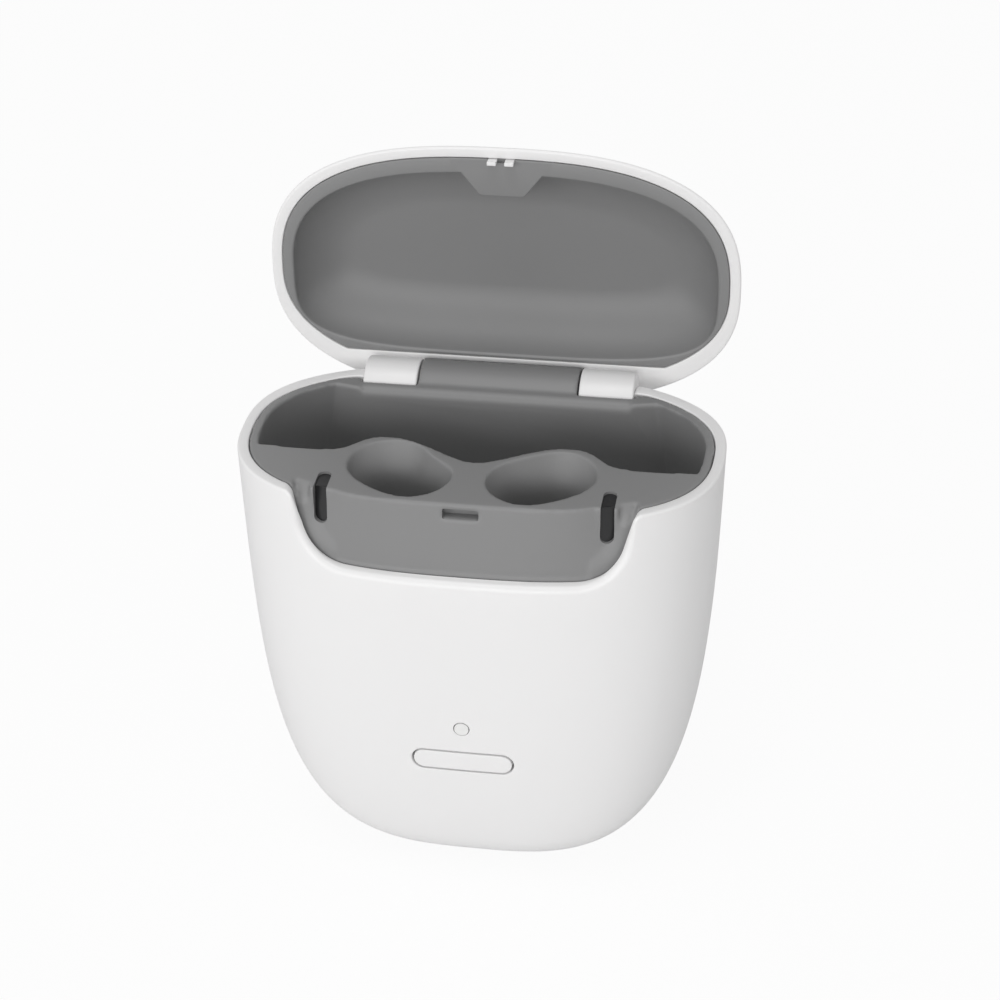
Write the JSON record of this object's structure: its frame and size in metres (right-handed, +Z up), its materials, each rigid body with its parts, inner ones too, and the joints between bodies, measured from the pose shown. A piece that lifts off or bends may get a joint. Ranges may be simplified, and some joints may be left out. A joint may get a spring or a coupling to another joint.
{
  "type": "hearing aid charger",
  "caption": "Tabletop charging case for hearing aids, white with a grey insert and a hinged lid standing open; a long button and a round light sit on the front.",
  "frame": {"origin": "on the floor plane below the middle of the case's rim outline", "axes": "+X to the right seen from the front, +Y to the back, +Z up; the lid stands open at rest"},
  "size_m": [0.08, 0.0635, 0.1154],
  "materials": {
    "white_case": "satin",
    "grey_insert": "satin",
    "smoke_window": "gloss",
    "rubber_pad": "matte",
    "steel": "brushed",
    "bush_plastic": "matte",
    "gold_contact": "polished",
    "magnet_plate": "polished",
    "board_green": "gloss",
    "chip_black": "matte",
    "led_clear": "gloss",
    "lens_white": "gloss",
    "chassis_plastic": "matte",
    "battery_wrap": "satin",
    "foam_tape": "matte",
    "connector_cream": "matte"
  },
  "bodies": {
    "case": {"outer_shell": "white_case", "foot_pad": "rubber_pad", "base_screws": "steel", "inner_tray": "grey_insert", "indicator_window_left": "smoke_window", "indicator_window_right": "smoke_window", "indicator_leds": "led_clear", "contact_board": "board_green", "contact_screw": "steel", "charging_pins_left": "gold_contact", "charging_pins_right": "gold_contact", "lid_sensor": "chip_black", "chassis": "chassis_plastic", "chassis_screws": "steel", "battery": "battery_wrap", "battery_tape": "foam_tape", "main_board": "board_green", "main_board_screws": "steel", "controller_chip": "chip_black", "charge_chip": "chip_black", "battery_connector": "connector_cream", "socket_board": "board_green", "socket_board_screws": "steel", "charging_socket": "steel", "button_board": "board_green", "button_board_screws": "steel", "switch_body": "chip_black", "status_led": "led_clear", "status_lens": "lens_white", "hinge_bush_left": "bush_plastic", "hinge_bush_right": "bush_plastic"},
    "lid": {"lid_shell": "white_case", "lid_liner": "grey_insert", "latch_hook": "white_case", "lid_magnet": "magnet_plate", "hinge_pin": "steel"},
    "button": {"button_cap": "white_case", "switch_plunger": "connector_cream"}
  },
  "joints": [
    {"name": "lid_hinge", "type": "hinge", "parent": "case", "child": "lid", "pos_m": [0, 0.01965, 0.0719], "axis": [1, 0, 0], "range_deg": [0, 92]},
    {"name": "button_press", "type": "slide", "parent": "case", "child": "button", "axis": [0, 1, 0], "range_m": [0, 0.0004], "stiffness_N_per_m": 1500, "springref_m": -0.0002}
  ]
}
